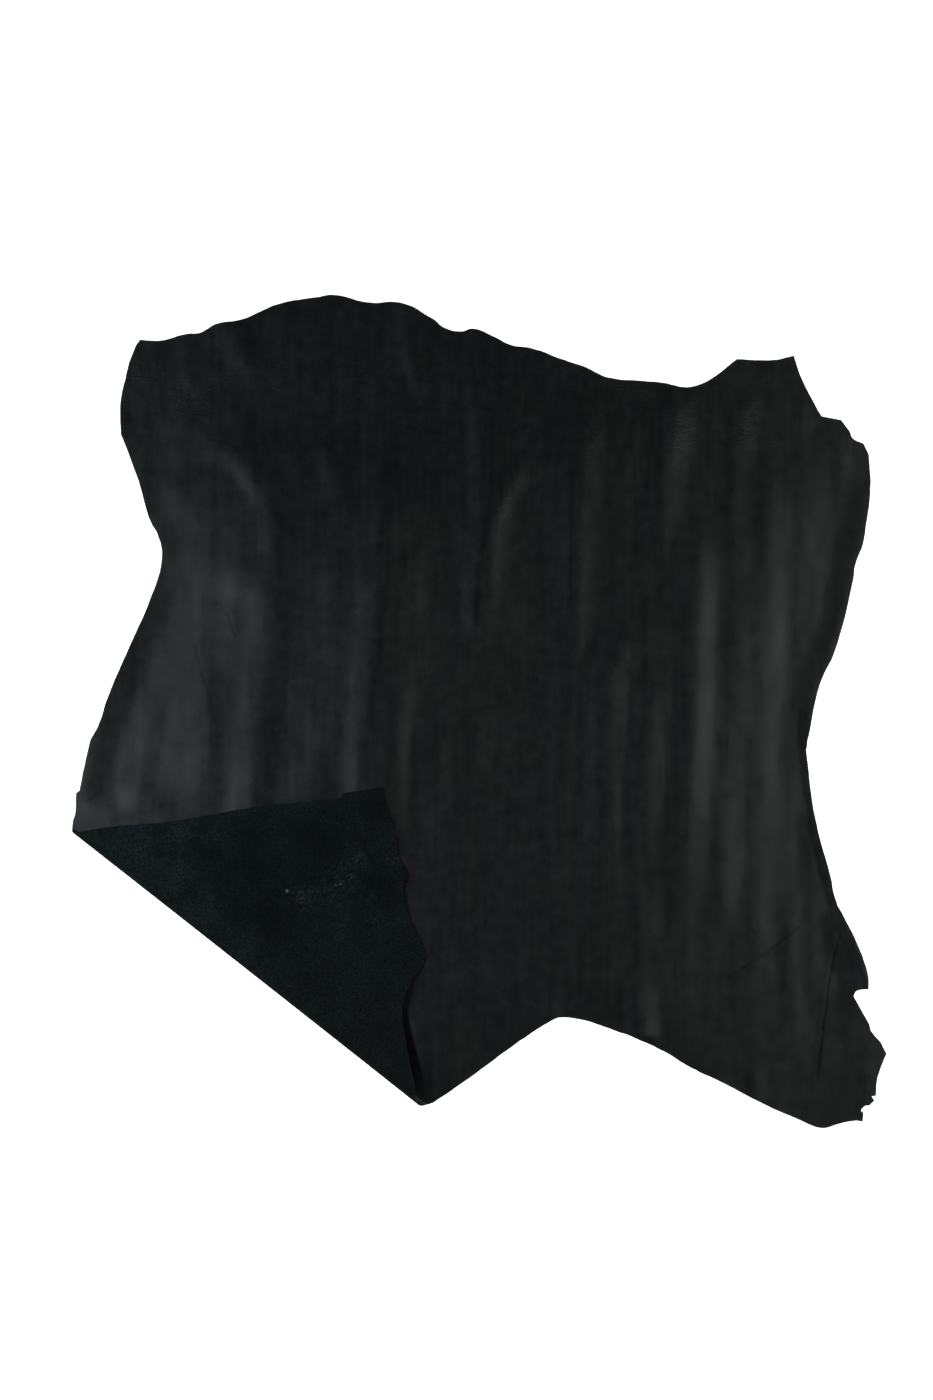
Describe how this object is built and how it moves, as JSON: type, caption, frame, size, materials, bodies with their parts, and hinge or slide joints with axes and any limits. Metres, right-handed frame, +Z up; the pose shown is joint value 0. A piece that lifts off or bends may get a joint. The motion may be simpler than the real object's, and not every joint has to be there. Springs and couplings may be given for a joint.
{
  "type": "leather hide",
  "caption": "Whole calf-size hide lying grain side up in soft long waves, with one corner folded over on top to show its suede flesh side.",
  "frame": {"origin": "on the surface that the hide lies on, under the middle of its bounding box", "axes": "+Z up from the surface; +Y towards the hide's far, neck edge; +X to the right as seen from above with the folded corner near left"},
  "size_m": [1.1387, 1.166, 0.0203],
  "materials": {
    "leather": "dyed black, smooth grain side with a soft satin sheen; flesh side is a matte suede of a very dark teal black"
  },
  "bodies": {
    "root": {"hide": "leather"}
  },
  "joints": []
}
